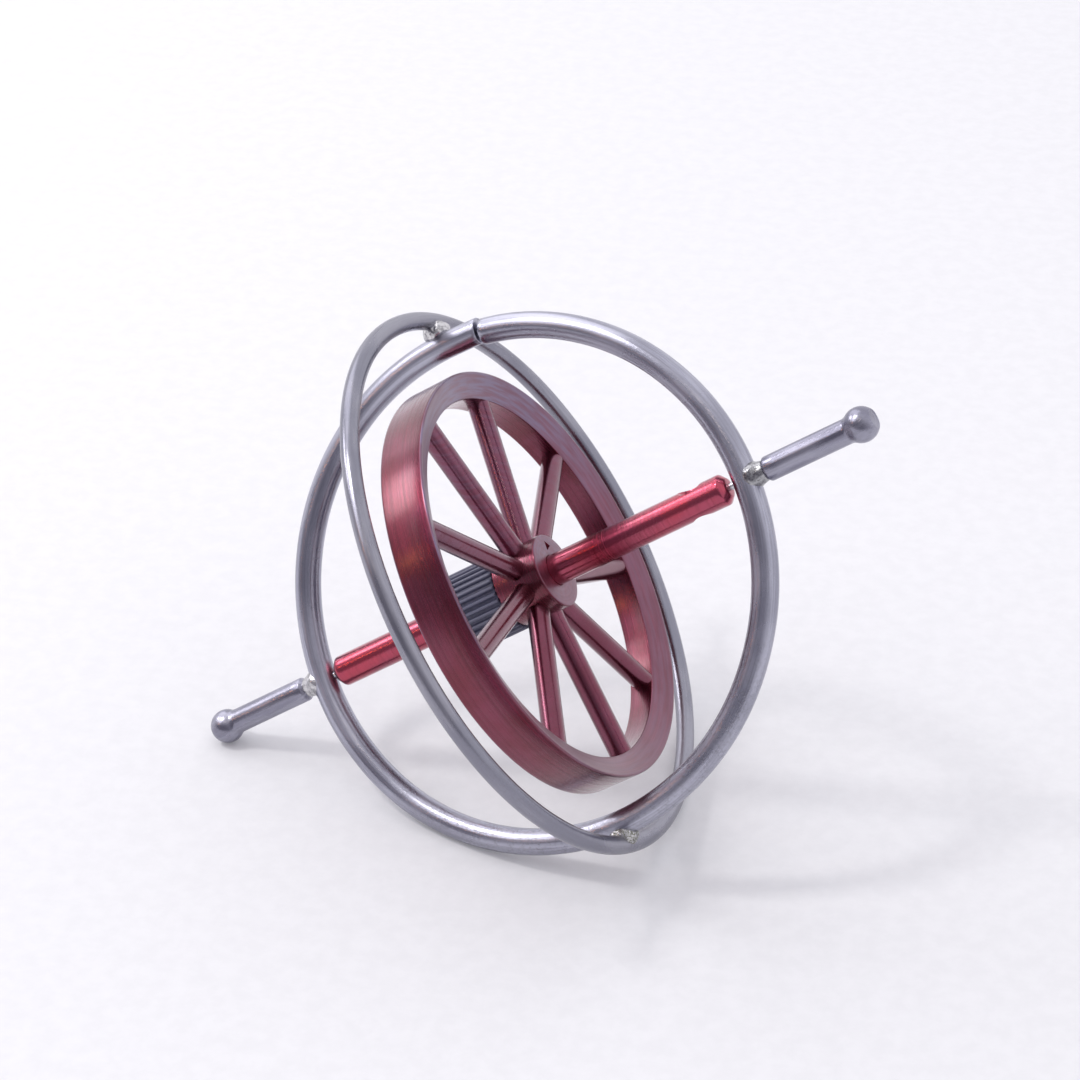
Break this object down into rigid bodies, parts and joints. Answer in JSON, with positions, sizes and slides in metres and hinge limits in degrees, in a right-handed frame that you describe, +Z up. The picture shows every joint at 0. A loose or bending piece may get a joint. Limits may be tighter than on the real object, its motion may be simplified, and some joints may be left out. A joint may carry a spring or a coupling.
{
  "type": "ring gyroscope",
  "caption": "Ring gyroscope: a spoked flywheel with a ribbed drum and a cord hole in its axle spins inside crossed wire rings with ball-ended spindles.",
  "frame": {"origin": "on the table, under the middle of the gyroscope as it lies at rest on its left ball, its guard ring and its axle ring", "axes": "+Z up, +X along the axle's level direction towards the raised right ball, +Y away from a viewer who has that ball on the right"},
  "size_m": [0.0796, 0.0691, 0.057],
  "materials": {
    "ring_steel": "plated wire, slightly tarnished",
    "weld_metal": "rough weld metal",
    "pivot_steel": "ground steel",
    "axle_red": "glossy red lacquer over metal",
    "flywheel_red": "dark red lacquer over turned and cast metal",
    "drum_plastic": "moulded, ribbed"
  },
  "bodies": {
    "cage": {"axle_ring": "ring_steel", "guard_ring": "ring_steel", "left_spindle": "ring_steel", "right_spindle": "ring_steel", "left_spindle_weld": "weld_metal", "right_spindle_weld": "weld_metal", "upper_ring_weld": "weld_metal", "lower_ring_weld": "weld_metal"},
    "rotor": {"axle": "axle_red", "left_pivot": "pivot_steel", "right_pivot": "pivot_steel", "ribbed_drum": "drum_plastic", "flywheel_hub": "flywheel_red", "flywheel_rim": "flywheel_red", "spoke_1": "flywheel_red", "spoke_2": "flywheel_red", "spoke_3": "flywheel_red", "spoke_4": "flywheel_red", "spoke_5": "flywheel_red", "spoke_6": "flywheel_red", "spoke_7": "flywheel_red", "spoke_8": "flywheel_red", "spoke_9": "flywheel_red"}
  },
  "joints": [
    {"name": "rotor_spin", "type": "hinge", "parent": "cage", "child": "rotor", "pos_m": [0, 0, 0.02812], "axis": [0.823, 0, 0.5681], "continuous": true}
  ]
}
